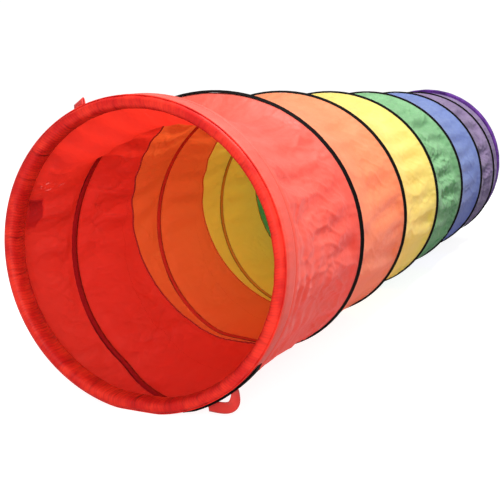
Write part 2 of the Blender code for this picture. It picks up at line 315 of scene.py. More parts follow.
def lie_of_cloth(angle, along):
    """How far the cloth lies inside its full radius, before any simulation."""
    before, behind = supports(angle, along)
    span = behind - before
    share = np.clip((along - before) / span, 0.0, 1.0)
    held = np.minimum(along - before, behind - along)
    free = smooth((held - 0.0075) / 0.030)
    floor_share = 0.25 + 0.75 * smooth((angle_apart(angle, 0.0) - 12.0) / 22.0)
    loose = free * floor_share * seam_calm(angle, along)
    dip = by_panel(DIP_DEPTHS, angle, along) * np.sin(math.pi * share) ** 0.8
    dip = dip * np.clip(span / COIL_PITCH, 0.0, 1.1) * floor_share * free
    folds = ripples(angle, along, 31, 9, (12, 34), (0.3, 2.6))
    folds = folds * by_panel(FOLD_HEIGHTS, angle, along)
    broad = ripples(angle, along, 3, 8, (2, 9), (1.5, 7.0)) * by_panel(RIPPLE_HEIGHTS, angle, along)
    long_creases = creases(angle, along, 61, (12, 26), (0.4, 3.0))
    short_creases = creases(angle, along, 11, (5, 15), (3.0, 12.0))
    fine = long_creases * by_panel(CREASE_HEIGHTS, angle, along)
    fine = fine + short_creases * by_panel(CRUMPLE_HEIGHTS, angle, along)
    drawn = np.exp(-0.5 * (angle_apart(angle, 292.0) / 30.0) ** 2) * smooth((0.30 - along) / 0.20)
    drawn = 0.0019 * drawn * ripples(angle, along, 41, 6, (3, 9), (16.0, 34.0))
    puckers = ripples(angle, along, 21, 6, (50, 130), (0.0, 4.0))
    near = smooth((held - 0.007) / 0.006) * np.exp(-np.maximum(held - 0.012, 0.0) / 0.020)
    puckers = puckers * (0.0006 * near + 0.0002 * smooth((0.034 - along) / 0.010))
    sag = front_sag(angle, before, behind, along)
    moving = (folds + broad - fine + drawn) * loose * (1.0 - 0.6 * smooth(sag / 0.012))
    return dip + moving + puckers + sag


def wall_radius(angle, along):
    """Radius of the taut cloth: over the front roll, along the coil, and into the rear roll."""
    edge = 0.0016 * (1.0 - smooth((along - WALL_START) / 0.009))
    over_roll = HEM_RADIUS + 0.0010 - edge
    radius = over_roll + smooth((along - FRONT_HELD + 0.002) / 0.012) * (PANEL_RADIUS - over_roll)
    tuck = rear_hoop.radius - (rear_hoop.height - AXIS_HEIGHT) * np.cos(angle) - 0.0035
    share = smooth((along - REAR_HELD + COIL_CLEARANCE) / 0.010)
    return radius + share * np.minimum(tuck - PANEL_RADIUS, 0.0)


def simulate_drape():
    """Lets the whole cloth tube hang from its hoops and coil; returns how far each point moves."""
    rows = DRAPE_ROWS
    columns = DRAPE_COLUMNS
    angle, along = np.meshgrid(np.arange(columns) * TAU / columns,
                               np.linspace(WALL_START, WALL_END, rows))
    start = 0.3 * lie_of_cloth(angle, along) + 0.0004 * ripples(angle, along, 7, 8, (20, 60), (5, 30))
    rest = settled(along, angle, wall_radius(angle, along) - start)
    before, behind = supports(angle, along)
    held = np.minimum(along - before, behind - along)
    pinned = np.flatnonzero(held.ravel() < 0.0055)
    slack = by_panel(SLACK_SHARES, angle, along).ravel()

    mesh = bpy.data.meshes.new("drape")
    index = np.arange(rows * columns).reshape(rows, columns)
    after = np.roll(index, -1, axis=1)
    faces = np.stack((index[:-1], after[:-1], after[1:], index[1:]), axis=-1).reshape(-1, 4)
    mesh.from_pydata(rest.reshape(-1, 3).tolist(), [], faces.tolist())
    tube = bpy.data.objects.new("drape", mesh)
    bpy.context.scene.collection.objects.link(tube)
    hold = tube.vertex_groups.new(name="hold")
    hold.add(pinned.tolist(), 1.0, "REPLACE")
    loose = tube.vertex_groups.new(name="loose")
    for level in np.unique(np.round(slack, 2)):
        members = np.flatnonzero(np.round(slack, 2) == level)
        loose.add(members.tolist(), float(level), "REPLACE")

    cloth = tube.modifiers.new("cloth", "CLOTH")
    cloth.settings.quality = 5
    cloth.settings.mass = 0.12
    cloth.settings.tension_stiffness = 20.0
    cloth.settings.compression_stiffness = 12.0
    cloth.settings.shear_stiffness = 6.0
    cloth.settings.bending_stiffness = 0.4
    cloth.settings.air_damping = 2.0
    cloth.settings.vertex_group_mass = "hold"
    cloth.settings.vertex_group_shrink = "loose"
    cloth.settings.shrink_min = 0.0
    cloth.settings.shrink_max = -0.012
    cloth.collision_settings.use_collision = False
    cloth.collision_settings.use_self_collision = False
    scene = bpy.context.scene
    for number in range(1, DRAPE_FRAMES + 1):
        scene.frame_set(number)
    shape = tube.evaluated_get(bpy.context.evaluated_depsgraph_get()).to_mesh()
    moved = np.empty(rows * columns * 3)
    shape.vertices.foreach_get("co", moved)
    shift = moved.reshape(rows, columns, 3) - rest
    scene.frame_set(1)
    bpy.data.objects.remove(tube, do_unlink=True)
    for _ in range(2):
        shift = (shift + np.roll(shift, 1, axis=1) + np.roll(shift, -1, axis=1)) / 3.0
    shift[1:-1] = (shift[:-2] + 2.0 * shift[1:-1] + shift[2:]) / 4.0
    size = np.linalg.norm(shift, axis=-1, keepdims=True)
    return shift * np.where(size > DRAPE_LIMIT, DRAPE_LIMIT / np.maximum(size, 1e-9), 1.0)


def sample(field, angle, along):
    """A field on the drape's grid, read between its points."""
    rows, columns = field.shape[:2]
    row = np.clip((along - WALL_START) / (WALL_END - WALL_START), 0.0, 1.0) * (rows - 1)
    column = np.mod(angle, TAU) / TAU * columns
    low_row = np.minimum(row.astype(int), rows - 2)
    low_column = column.astype(int) % columns
    row_share = (row - low_row)[..., None]
    column_share = (column - np.floor(column))[..., None]
    high_column = (low_column + 1) % columns
    front = field[low_row, low_column] * (1 - column_share) + field[low_row, high_column] * column_share
    back_row = low_row + 1
    back = field[back_row, low_column] * (1 - column_share) + field[back_row, high_column] * column_share
    return front * (1 - row_share) + back * row_share


def wall(angle, along, depth=0.0):
    """Points on the cloth, `depth` inside its outer face."""
    points = settled(along, angle, wall_radius(angle, along) - lie_of_cloth(angle, along))
    if drape is not None:
        before, behind = supports(angle, along)
        held = np.minimum(along - before, behind - along)
        points = points + sample(drape, angle, along) * smooth((held - 0.006) / 0.012)[..., None]
    points = points - outwards(angle) * np.asarray(depth)[..., None]
    lowest = FLOOR_CLEARANCE + np.asarray(depth) * np.maximum(np.cos(angle), 0.0)
    points[..., 2] = np.maximum(points[..., 2], lowest)
    return points


def inner_skin(outer, depth):
    """The wall's inner face, `depth` under the outer one along its true normals."""
    around = np.roll(outer, -1, axis=1) - np.roll(outer, 1, axis=1)
    forward = np.gradient(outer, axis=0)
    return outer - unit(np.cross(around, forward)) * depth[..., None]


# ---------------- mesh building
SAME_DIAGONAL = [0, 3, 2, 1]     # turns a quad over, and still splits it along its first corner


def new_piece(name, points, faces, materials, face_materials=None, uvs=None, values=None):
    """A smooth mesh object from point and face lists, with named values at its points."""
    mesh = bpy.data.meshes.new(name)
    mesh.from_pydata(points.reshape(-1, 3).tolist(), [], faces)
    for material in materials:
        mesh.materials.append(material)
    if face_materials is not None:
        mesh.polygons.foreach_set("material_index", face_materials.astype(np.int32))
    if uvs is not None:
        layer = mesh.uv_layers.new(name="metres")
        layer.data.foreach_set("uv", uvs.reshape(-1).astype(np.float32))
    for key, numbers in (values or {}).items():
        attribute = mesh.attributes.new(key, "FLOAT", "POINT")
        attribute.data.foreach_set("value", numbers.reshape(-1).astype(np.float32))
    mesh.polygons.foreach_set("use_smooth", np.ones(len(faces), bool))
    mesh.update()
    obj = bpy.data.objects.new(name, mesh)
    bpy.context.scene.collection.objects.link(obj)
    return obj


def grid_faces(rows, columns, wrap_columns, wrap_rows=False):
    """Quads of a grid of points, as rows of four indices."""
    index = np.arange(rows * columns).reshape(rows, columns)
    if wrap_columns:
        index = np.concatenate((index, index[:, :1]), axis=1)
    if wrap_rows:
        index = np.concatenate((index, index[:1]), axis=0)
    quads = np.stack((index[:-1, :-1], index[:-1, 1:], index[1:, 1:], index[1:, :-1]), axis=-1)
    return quads.reshape(-1, 4)


def grid_uvs(rows, columns, wrap_columns, size_u, size_v, wrap_rows=False):
    """Corner coordinates in metres for the quads of grid_faces."""
    across = columns + (1 if wrap_columns else 0)
    down = rows + (1 if wrap_rows else 0)
    u, v = np.meshgrid(np.linspace(0.0, size_u, across), np.linspace(0.0, size_v, down))
    uv = np.stack((u, v), axis=-1)
    return np.stack((uv[:-1, :-1], uv[:-1, 1:], uv[1:, 1:], uv[1:, :-1]), axis=2).reshape(-1, 2)


def make_shell(name, outer, inner, wraps, materials, values, sizes):
    """A closed shell between two grids; `wraps` says that their columns run right round."""
    rows, columns = outer.shape[:2]
    count = rows * columns
    index = np.arange(count).reshape(rows, columns)
    if wraps:
        rims = (index[0], index[-1, ::-1])
    else:
        rims = (np.concatenate((index[0], index[1:, -1], index[-1, -2::-1], index[-2:0:-1, 0])),)
    sides = []
    for rim in rims:
        beside = np.roll(rim, -1)
        sides.append(np.stack((rim, rim + count, beside + count, beside), axis=-1))
    skin = grid_faces(rows, columns, wraps)
    faces = np.concatenate([skin, skin[:, SAME_DIAGONAL] + count] + sides)
    face_materials = np.full(len(faces), len(materials) - 1)
    face_materials[:len(skin)] = 0
    skin_uv = grid_uvs(rows, columns, wraps, *sizes)
    flipped = skin_uv.reshape(-1, 4, 2)[:, SAME_DIAGONAL].reshape(-1, 2)
    rim_uv = np.zeros((4 * (len(faces) - 2 * len(skin)), 2))
    uvs = np.concatenate((skin_uv, flipped, rim_uv))
    both = {key: np.tile(numbers.ravel(), 2) for key, numbers in values.items()}
    points = np.concatenate((outer.reshape(-1, 3), inner.reshape(-1, 3)))
    obj = new_piece(name, points, faces.tolist(), materials, face_materials, uvs, both)
    face_outwards(obj)
    return obj


def make_ring_tube(name, points, material, values, size_u, size_v):
    """A torus-like skin from a grid that closes both ways."""
    rows, columns = points.shape[:2]
    faces = grid_faces(rows, columns, True, True)
    uvs = grid_uvs(rows, columns, True, size_u, size_v, True)
    obj = new_piece(name, points, faces.tolist(), [material], None, uvs, values)
    face_outwards(obj)
    return obj


def face_outwards(obj):
    """Turns every face of a closed mesh outwards if its volume comes out negative."""
    mesh = obj.data
    mesh.calc_loop_triangles()
    corners = np.empty(len(mesh.loop_triangles) * 3, np.int32)
    mesh.loop_triangles.foreach_get("vertices", corners)
    points = np.empty(len(mesh.vertices) * 3)
    mesh.vertices.foreach_get("co", points)
    first, second, third = points.reshape(-1, 3)[corners.reshape(-1, 3)].transpose(1, 0, 2)
    volume = np.einsum("ij,ij->i", first, np.cross(second, third)).sum()
    if volume < 0.0:
        mesh.flip_normals()
        mesh.update()


def make_wire(name, centres, radius, material, sides=10):
    """A round wire along a path, with flat ends."""
    forward = unit(np.gradient(centres, axis=0))
    axis_x = np.array((1.0, 0.0, 0.0))
    side = unit(axis_x - forward * (forward @ axis_x)[:, None])
    up = np.cross(forward, side)
    turn = np.arange(sides) * TAU / sides
    ring = (side[:, None] * np.cos(turn)[None, :, None] + up[:, None] * np.sin(turn)[None, :, None])
    points = centres[:, None] + ring * radius
    rows = len(centres)
    skin = grid_faces(rows, sides, True)
    tips = np.stack((centres[0], centres[-1]))
    first = rows * sides
    index = np.arange(sides)
    beside = np.roll(index, -1)
    last_row = (rows - 1) * sides
    start_cap = np.stack((beside, index, np.full(sides, first)), axis=-1)
    end_cap = np.stack((index + last_row, beside + last_row, np.full(sides, first + 1)), axis=-1)
    faces = skin.tolist() + start_cap.tolist() + end_cap.tolist()
    obj = new_piece(name, np.concatenate((points.reshape(-1, 3), tips)), faces, [material])
    face_outwards(obj)
    return obj


# ---------------- materials
class Nodes:
    """Short names for the shader nodes that the materials are made of."""

    def __init__(self, name):
        self.material = bpy.data.materials.new(name)
        self.material.use_nodes = True
        self.tree = self.material.node_tree
        self.shader = self.tree.nodes["Principled BSDF"]
        self.output = self.tree.nodes["Material Output"]

    def put(self, target, value):
        if isinstance(value, bpy.types.NodeSocket):
            self.tree.links.new(value, target)
        else:
            target.default_value = value

    def add(self, kind, inputs, output=0, **settings):
        node = self.tree.nodes.new(kind)
        for key, value in settings.items():
            setattr(node, key, value)
        for key, value in inputs.items():
            self.put(node.inputs[key], value)
        return node.outputs[output]

    def set(self, **inputs):
        for key, value in inputs.items():
            self.put(self.shader.inputs[key.replace("_", " ")], value)

    def math(self, operation, first, second=0.0):
        return self.add("ShaderNodeMath", {0: first, 1: second}, operation=operation)

    def times(self, first, second):
        return self.math("MULTIPLY", first, second)

    def mix(self, share, first, second):
        return self.add("ShaderNodeMix", {0: share, 6: first, 7: second}, 2, data_type="RGBA")

    def value(self, name):
        """A named value stored at the mesh's points."""
        return self.add("ShaderNodeAttribute", {}, "Fac", attribute_name=name)

    def parts(self, vector):
        """The three numbers of a vector."""
        split = self.tree.nodes.new("ShaderNodeSeparateXYZ")
        self.put(split.inputs[0], vector)
        return split.outputs

    def facing_up(self):
        """1 where the surface faces up, -1 where it faces down."""
        return self.parts(self.add("ShaderNodeTexCoord", {}, "Normal"))[2]

    def metres(self):
        """The mesh's own coordinates, across and along the piece."""
        return self.parts(self.add("ShaderNodeUVMap", {}, uv_map="metres"))

    def step(self, value, low, high):
        """0 below low, 1 above high, smooth between; low may be the larger one."""
        return self.add("ShaderNodeMapRange", {"Value": value, "From Min": low, "From Max": high},
                        interpolation_type="SMOOTHSTEP")

    def noise(self, scale, detail=3.0, stretch=(1.0, 1.0, 1.0), roughness=0.55):
        spot = self.add("ShaderNodeTexCoord", {}, "Object")
        mapped = self.add("ShaderNodeMapping", {"Vector": spot, "Scale": stretch})
        return self.add("ShaderNodeTexNoise", {
            "Vector": mapped, "Scale": scale, "Detail": detail, "Roughness": roughness}, "Fac")

    def weave(self, pitch):
        """Plain weave, as threads that cross at this pitch."""
        metres = self.metres()
        turns = TAU / pitch / 2.0
        warp = self.math("SINE", self.times(metres[0], turns))
        weft = self.math("SINE", self.times(metres[1], turns))
        return self.times(warp, weft)

    def bump(self, height, distance, strength=1.0, normal=None):
        inputs = {"Height": height, "Distance": distance, "Strength": strength}
        if normal is not None:
            inputs["Normal"] = normal
        return self.add("ShaderNodeBump", inputs)

    def see_through(self, colour, share, normal):
        """Mixes the shader with light that passes through the cloth."""
        glow = self.add("ShaderNodeBsdfTranslucent", {"Color": colour, "Normal": normal})
        mixed = self.add("ShaderNodeMixShader", {0: share, 1: self.shader.outputs[0], 2: glow})
        self.put(self.output.inputs["Surface"], mixed)


def cloth_outside(colour):
    """Thin coated nylon seen from outside: satin and finely woven, with painted light that makes it
    paler on top, and painted shade in its crinkles and beside the coil's binding.
    """
    cloth = CLOTHS[colour]
    nodes = Nodes(colour + "_cloth_outside")
    blotch = nodes.step(nodes.noise(9.0, 4.0), 0.35, 0.68)
    crinkle = nodes.noise(95.0, 5.0, (0.6, 1.0, 1.0), 0.65)
    # painted light: paler where the cloth faces up and darker where it faces down, plus random blotches
    # of tone
    painted_top_light_and_blotch = nodes.times(nodes.step(nodes.facing_up(), -0.75, 0.85), 0.85)
    painted_top_light_and_blotch = nodes.math("ADD", painted_top_light_and_blotch, nodes.times(nodes.math("SUBTRACT", blotch, 0.5), 0.22))
    base = nodes.mix(painted_top_light_and_blotch, cloth.shade, cloth.lit)
    # painted shade: darker in the hollows of the crinkle bump
    base = nodes.mix(nodes.times(nodes.step(crinkle, 0.62, 0.40), 0.16), base, cloth.shade)
    # painted shade on the cloth beside the coil's raised binding
    held = nodes.math("ABSOLUTE", nodes.value("coil_gap"))
    base = nodes.mix(nodes.times(nodes.step(held, 0.012, 0.005), 0.35), base, cloth.shade)
    wrinkles = nodes.noise(42.0, 4.0, (0.35, 1.0, 1.0), 0.6)
    rough = nodes.bump(crinkle, 0.0016, 0.35, nodes.bump(wrinkles, 0.0045, 0.5))
    normal = nodes.bump(nodes.weave(WEAVE_PITCH), 0.00006, 0.5, rough)
    nodes.set(Base_Color=base, Roughness=nodes.math("ADD", nodes.times(blotch, 0.12), 0.44),
              Specular_IOR_Level=0.34, Sheen_Weight=0.12, Sheen_Roughness=0.45, Normal=normal)
    nodes.see_through(cloth.glow, 0.46, normal)
    return nodes.material


def cloth_inside(colour):
    """The same cloth from inside, with the black binding's shadow through the cloth painted as a dark
    stripe along the coil.
    """
    cloth = CLOTHS[colour]
    nodes = Nodes(colour + "_cloth_inside")
    blotch = nodes.step(nodes.noise(7.0, 3.0), 0.30, 0.70)
    crinkle = nodes.noise(80.0, 4.0, (0.6, 1.0, 1.0))
    base = nodes.mix(nodes.times(blotch, 0.30), cloth.inside, cloth.shade)
    gap = nodes.value("coil_gap")
    held = nodes.math("ABSOLUTE", gap)
    # painted shadow: the outside binding's shadow seen through the cloth, a dark stripe along the coil
    covered = nodes.step(held, 0.0088, 0.0074)
    base = nodes.mix(nodes.times(covered, 0.92), base, cloth.stripe)
    # painted shadow of the binding's edges: darker lines along the stripe's sides, broken by streaks on
    # its front side
    edge_colour = tuple(0.10 * channel for channel in cloth.stripe[:3]) + (1.0,)
    rear_edge = nodes.times(nodes.step(gap, 0.0040, 0.0054), nodes.step(gap, 0.0092, 0.0082))
    front_edge = nodes.times(nodes.step(gap, -0.0090, -0.0082), nodes.step(gap, -0.0056, -0.0068))
    streaks = nodes.step(nodes.noise(9.0, 2.0), 0.35, 0.60)
    edges = nodes.math("MAXIMUM", rear_edge, nodes.times(front_edge, streaks))
    base = nodes.mix(nodes.times(edges, 0.9), base, edge_colour)
    # painted shadow of the left tie loop, which lies on the red cloth outside
    base = nodes.mix(nodes.times(nodes.value("patch"), 0.85), base, cloth.stripe)
    rough = nodes.bump(crinkle, 0.0012, 0.20)
    normal = nodes.bump(nodes.weave(WEAVE_PITCH), 0.00005, 0.4, rough)
    nodes.set(Base_Color=base, Roughness=0.62, Specular_IOR_Level=0.10, Normal=normal)
    shadow = nodes.math("MAXIMUM", covered, nodes.value("patch"))
    passing = nodes.times(0.80, nodes.math("SUBTRACT", 1.0, shadow))
    pale_glow = tuple(0.4 * channel + 0.6 for channel in cloth.glow[:3]) + (1.0,)
    nodes.see_through(pale_glow, passing, normal)
    return nodes.material


def gathered_cloth(name, lit, shade, valley_shade):
    """The hoop sleeve: satin cloth gathered into fine folds, with painted shade in their valleys and on
    the roll's inner side.
    """
    nodes = Nodes(name)
    fold_shade = nodes.value("fold_shade")
    blotch = nodes.step(nodes.noise(30.0, 3.0), 0.35, 0.65)
    base = nodes.mix(blotch, shade, lit)
    # painted shade in the gathers' valleys and on the roll's inner side
    base = nodes.mix(fold_shade, base, valley_shade)
    normal = nodes.bump(nodes.weave(WEAVE_PITCH), 0.00006, 0.5)
    nodes.set(Base_Color=base, Roughness=0.50, Specular_IOR_Level=0.15, Normal=normal)
    return nodes.material


def seam_cloth(name, colour):
    """Narrow overlocked seam tape with its zigzag thread."""
    nodes = Nodes(name)
    stitch = 0.0025
    thread = nodes.math("SINE", nodes.times(nodes.metres()[0], TAU / stitch))
    dark = tuple(0.45 * channel for channel in colour[:3]) + (1.0,)
    base = nodes.mix(nodes.step(thread, -0.2, 0.6), dark, colour)
    nodes.set(Base_Color=base, Roughness=0.7, Normal=nodes.bump(thread, 0.0004, 0.6))
    return nodes.material


def binding_tape():
    """Black woven binding with two rows of stitches."""
    nodes = Nodes("black_binding_tape")
    stitch_pitch = 0.0036
    along = nodes.math("SINE", nodes.times(nodes.metres()[1], TAU / stitch_pitch))
    dash = nodes.step(along, -0.4, 0.1)
    aside = nodes.math("ABSOLUTE", nodes.value("aside"))
    row = nodes.times(nodes.step(aside, 0.0038, 0.0042), nodes.step(aside, 0.0052, 0.0047))
    stitch = nodes.times(row, dash)
    base = nodes.mix(nodes.noise(60.0, 3.0), srgb(4, 3, 3), srgb(11, 8, 7))
    base = nodes.mix(nodes.times(stitch, 0.4), base, srgb(38, 32, 30))
    normal = nodes.bump(nodes.weave(0.0008), 0.0001, 0.6, nodes.bump(stitch, 0.0004, 0.8))
    nodes.set(Base_Color=base, Roughness=0.78, Specular_IOR_Level=0.08, Normal=normal)
    return nodes.material


def webbing(name, lit, shade):
    """Narrow woven ribbon."""
    nodes = Nodes(name)
    base = nodes.mix(nodes.noise(45.0, 3.0), shade, lit)
    ribs = nodes.weave(0.0012)
    # painted shade in the hollows of the weave
    base = nodes.mix(nodes.times(nodes.step(ribs, -0.2, -0.8), 0.3), base, shade)
    normal = nodes.bump(ribs, 0.0002, 0.6)
    nodes.set(Base_Color=base, Roughness=0.55, Specular_IOR_Level=0.4, Sheen_Weight=0.2, Normal=normal)
    nodes.see_through(lit, 0.20, normal)
    return nodes.material


def spring_steel():
    """Drawn wire, faintly scored along its length."""
    nodes = Nodes("spring_steel_wire")
    drawn = nodes.noise(400.0, 3.0, (1.0, 0.1, 0.1))
    nodes.set(Base_Color=nodes.mix(nodes.noise(30.0), srgb(150, 150, 152), srgb(186, 187, 190)),
              Metallic=1.0, Roughness=nodes.math("ADD", nodes.times(drawn, 0.2), 0.22),
              Normal=nodes.bump(drawn, 0.0001, 0.3))
    return nodes.material


def grained(name, scale, dark, pale, roughness, depth, strength):
    """One substance with a fine grain, such as the hoops' foam or the coil's dipped caps."""
    nodes = Nodes(name)
    grain = nodes.noise(scale, 2.0)
    nodes.set(Base_Color=nodes.mix(grain, dark, pale), Roughness=roughness,
              Normal=nodes.bump(grain, depth, strength))
    return nodes.material


# ---------------- riding on the frame
SQUASH = {entry["node"]: (joint["name"], entry["fixed_end_x_m"])
          for joint in frame["joints"] for entry in joint.get("deforming_nodes", [])}


def fold_with(obj, body, node):
    """Rides on a body, stands for a CAD node, and gets a mesh of its own where that node folds flat."""
    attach(obj, body)
    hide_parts(node)
    if node in SQUASH:
        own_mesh(obj)


# ---------------- panels and seams
def loop_shadow(angle, along):
    """Where the left tie loop outside casts a painted shadow on the red cloth, from 0 to 1."""
    low, high = 93.5, 107.0
    near, far = 0.052, 0.095
    degrees = np.degrees(np.mod(angle, TAU))
    up = (degrees - low) / (high - low)
    lean = 0.010 * (1.0 - up)
    inside_angle = smooth(up * 8.0) * smooth((1.0 - up) * 12.0)
    inside_along = smooth((along - near) / 0.012) * smooth((far - lean - along) / 0.003)
    return inside_angle * inside_along * (0.45 + 0.55 * np.clip(up, 0.0, 1.0))


def make_wall_piece(name, colour, start, end, rows, shadow):
    """A closed shell of cloth between two rings of distances, one for each angle."""
    columns = len(start)
    angle = np.arange(columns) * TAU / columns
    along = start + (end - start) * np.linspace(0.0, 1.0, rows)[:, None]
    angle = np.broadcast_to(angle, along.shape)
    gap = coil_gap(angle, along)
    casing = 0.0028 * smooth(1.25 * (1.0 - np.abs(gap) / 0.0090))
    outer = wall(angle, along)
    inner = inner_skin(outer, FABRIC + casing)
    values = {"coil_gap": gap, "patch": loop_shadow(angle, along) * shadow}
    materials = [cloth_outside(colour), cloth_inside(colour)]
    sizes = (TAU * PANEL_RADIUS, float(np.mean(end - start)))
    return make_shell(name, outer, inner, True, materials, values, sizes)


def make_panel(number):
    """One colour of cloth, from its front seam to its rear one."""
    colour = PANELS[number]
    angle = np.arange(WALL_COLUMNS) * TAU / WALL_COLUMNS
    half_seam = 0.0002
    start = seam_distance(number, angle) + (half_seam if number else FRONT_HELD - WALL_START)
    end = seam_distance(number + 1, angle) - (half_seam if number < len(PANELS) - 1 else 0.0)
    shadow = 1.0 if number == 0 else 0.0
    obj = make_wall_piece("panel_" + colour + "_cloth", colour, start, end, PANEL_ROWS, shadow)
    fold_with(obj, SECTIONS[number], "panel_" + colour)


def make_roll_cover():
    """The red panel's first stretch, sewn over the front roll; it never folds."""
    overlap = 0.0002
    start = np.full(WALL_COLUMNS, WALL_START)
    end = np.full(WALL_COLUMNS, FRONT_HELD + overlap)
    obj = make_wall_piece("front_roll_cover_cloth", "red", start, end, ROLL_COVER_ROWS, 0.0)
    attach(obj, "front_end")


def make_seam(number):
    """The overlocked tape that covers two panels' raw edges inside the tunnel."""
    node = "seam_" + PANELS[number - 1] + "_" + PANELS[number]
    gap = 0.0001
    profile = np.array((-0.5, -0.30, 0.0, 0.30, 0.5))
    crown = np.array((0.0003, 0.0009, 0.0011, 0.0009, 0.0003))
    angle = np.arange(WALL_COLUMNS) * TAU / WALL_COLUMNS
    along = seam_distance(number, angle) + profile[:, None] * SEAM_WIDTH
    angle = np.broadcast_to(angle, along.shape)
    height = np.broadcast_to(crown[:, None], along.shape)
    outer = wall(angle, along, FABRIC + gap)
    inner = wall(angle, along, FABRIC + gap + height)
    material = seam_cloth(node + "_thread", SEAM_COLOURS[number - 1])
    obj = make_shell(node + "_tape", outer, inner, True, [material], {},
                     (TAU * PANEL_RADIUS, SEAM_WIDTH))
    fold_with(obj, SECTIONS[number], node)


# ---------------- the coil
def coil_angles():
    """Steps along the whole coil, as angles counted over all its turns."""
    per_turn = 96
    count = int((COIL_END - COIL_START) / TAU * per_turn)
    return np.linspace(COIL_START, COIL_END, count)


def make_coil_wire():
    """The spring: one wire from the front hoop to the rear one."""
    angle = coil_angles()
    obj = make_wire("coil_spring_wire", settled(coil_distance(angle), angle, COIL_CENTRE_RADIUS),
                    COIL_WIRE_RADIUS, spring_steel())
    fold_with(obj, "front_end", "coil_wire")


def make_binding():
    """Black tape folded over the coil: flat edges, and a round crown over the wire."""
    thickness = 0.0005
    flat = PANEL_RADIUS + 0.0003
    crown = COIL_RADIUS - flat - thickness
    angle = coil_angles()[2:-2]
    aside = np.linspace(-BINDING_HALF_WIDTH, BINDING_HALF_WIDTH, 15)
    rise = crown * np.exp(-(np.abs(aside) / 0.0040) ** 3)
    wander = 0.0004 * np.sin(23.0 * angle) + 0.0003 * np.sin(57.0 * angle + 1.0)
    along = (coil_distance(angle) + wander)[:, None] + aside
    angle = np.broadcast_to(angle[:, None], along.shape)
    lift = np.broadcast_to(rise, along.shape)
    bottom = settled(along, angle, flat + lift)
    top = settled(along, angle, flat + lift + thickness)
    length = COIL_RADIUS * float(angle[-1, 0] - angle[0, 0])
    values = {"aside": np.broadcast_to(aside, along.shape)}
    obj = make_shell("coil_binding_tape", top, bottom, False, [binding_tape()], values,
                     (2 * BINDING_HALF_WIDTH, length))
    fold_with(obj, "front_end", "coil_binding")


# ---------------- the padded hoops
def roll_section(turn, inset):
    """Half sizes of the roll's squared-off round section at an angle of that section."""
    power = 0.78
    along = np.copysign(np.abs(np.cos(turn)) ** power, np.cos(turn))
    across = np.copysign(np.abs(np.sin(turn)) ** power, np.sin(turn))
    return (HEM_LENGTH / 2 - inset) * along, (HEM_THICKNESS / 2 - inset) * across


def gathers(angle, turn, seed):
    """Depth of the sleeve's folds, 0 on the crowns to about 1 in the valleys."""
    random = np.random.RandomState(seed)
    shear = 0.010 * np.cos(turn)
    wander = 0.012 * np.sin(7 * angle + 1.0) + 0.006 * np.sin(19 * angle + 2.0)
    wander = wander + 0.0030 * np.sin(41 * angle + 0.5) + shear
    coarse = 1.0 - np.abs(np.sin(88 * (angle + wander)))
    fine = 1.0 - np.abs(np.sin(161 * (angle - 0.7 * wander) + 1.3 * np.sin(3 * turn)))
    patchy = 0.65 + 0.35 * np.sin(5 * angle + 2.0) * np.sin(3 * angle)
    depth = 0.26 * coarse ** 2 + 0.75 * fine ** 2 * patchy
    for _ in range(46):
        middle = random.uniform(0.0, 360.0)
        width = random.uniform(0.25, 0.60)
        strength = random.uniform(0.2, 0.6)
        offset = angle_apart(angle + shear * random.uniform(-2.0, 2.0), middle)
        depth = depth + strength * np.exp(-(offset / width) ** 2)
    return depth


def ring_grid(columns, rows):
    """Angles round the tunnel and round a roll's section."""
    return np.meshgrid(np.arange(columns) * TAU / columns, np.arange(rows) * TAU / rows)


def make_hoop(hoop, cloth):
    """The gathered sleeve round its foam, and the welt where the end panel is sewn on."""
    ring = hoop.radius - HEM_THICKNESS / 2
    reach = hoop.radius + 0.0012
    angle, turn = ring_grid(1400, 40)
    along, across = roll_section(turn, 0.0)
    inner_share = 0.5 - 0.5 * np.sin(turn - 0.25)
    depth = gathers(angle, turn, 5 if hoop.end == "front" else 6)
    share = 0.22 + 0.78 * inner_share ** 1.3
    inwards = 0.00095 * depth * share
    swell = 0.0003 * ripples(angle, np.zeros(turn.shape), 9, 6, (9, 40), (0.0, 1.0))
    scale = np.minimum(1.0 - (inwards - swell) / np.hypot(along, across), 1.01)
    points = settled(hoop.middle + hoop.facing * along * scale, angle, ring + across * scale,
                     hoop.height, reach)
    # painted shade: strongest in the gathers' valleys and on the roll's inner side, which faces into the
    # tunnel
    fold_shade = np.clip(depth * (0.25 + 0.75 * inner_share) * 0.75 + 0.25 * inner_share ** 2, 0.0, 1.0)
    sleeve = make_ring_tube(hoop.end + "_hem_sleeve", points, cloth, {"fold_shade": fold_shade},
                            TAU * ring, 0.09)
    body = hoop.end + "_end"
    fold_with(sleeve, body, hoop.end + "_hem")

    angle, turn = ring_grid(180, 24)
    along, across = roll_section(turn, 0.0028)
    points = settled(hoop.middle + hoop.facing * along, angle, ring + across, hoop.height, reach)
    foam = make_ring_tube(hoop.end + "_ring_foam", points, foam_material, {}, TAU * ring, 0.08)
    fold_with(foam, body, hoop.end + "_ring_padding")

    angle, turn = ring_grid(360, 8)
    if hoop.facing > 0:
        edge = WALL_START - 0.0004
        seat = HEM_RADIUS - 0.0006
    else:
        edge = REAR_HELD + 0.0010
        seat = hoop.radius - 0.0044
    points = settled(edge + WELT_RADIUS * np.sin(turn), angle, seat + WELT_RADIUS * np.cos(turn),
                     hoop.height, reach)
    welt = make_ring_tube(hoop.end + "_hem_welt", points, cloth, {"fold_shade": np.zeros(angle.shape)},
                          TAU * hoop.radius, 0.006)
    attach(welt, body)


